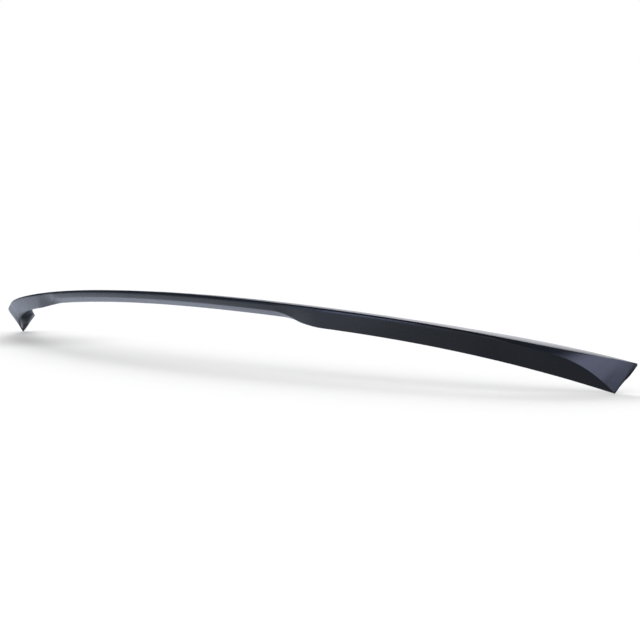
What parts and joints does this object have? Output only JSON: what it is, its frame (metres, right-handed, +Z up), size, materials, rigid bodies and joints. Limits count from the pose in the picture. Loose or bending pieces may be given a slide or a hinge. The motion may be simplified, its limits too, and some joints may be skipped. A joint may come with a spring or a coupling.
{
  "type": "boot lid lip spoiler",
  "caption": "Slim arched lip spoiler that is bonded along the trailing edge of a car boot lid, with a cut-back rear face in the middle, deep sides and sloped pointed ends.",
  "frame": {"origin": "middle of the flat bonded land on the underside, on the centre plane of the car", "axes": "+X across the car, the longest way; +Y forward, from the trailing edge to the front edge; +Z up"},
  "size_m": [1.1628, 0.1638, 0.0809],
  "materials": {
    "moulding": "satin black, unpainted or primed moulding"
  },
  "bodies": {
    "root": {"spoiler": "moulding"}
  },
  "joints": []
}
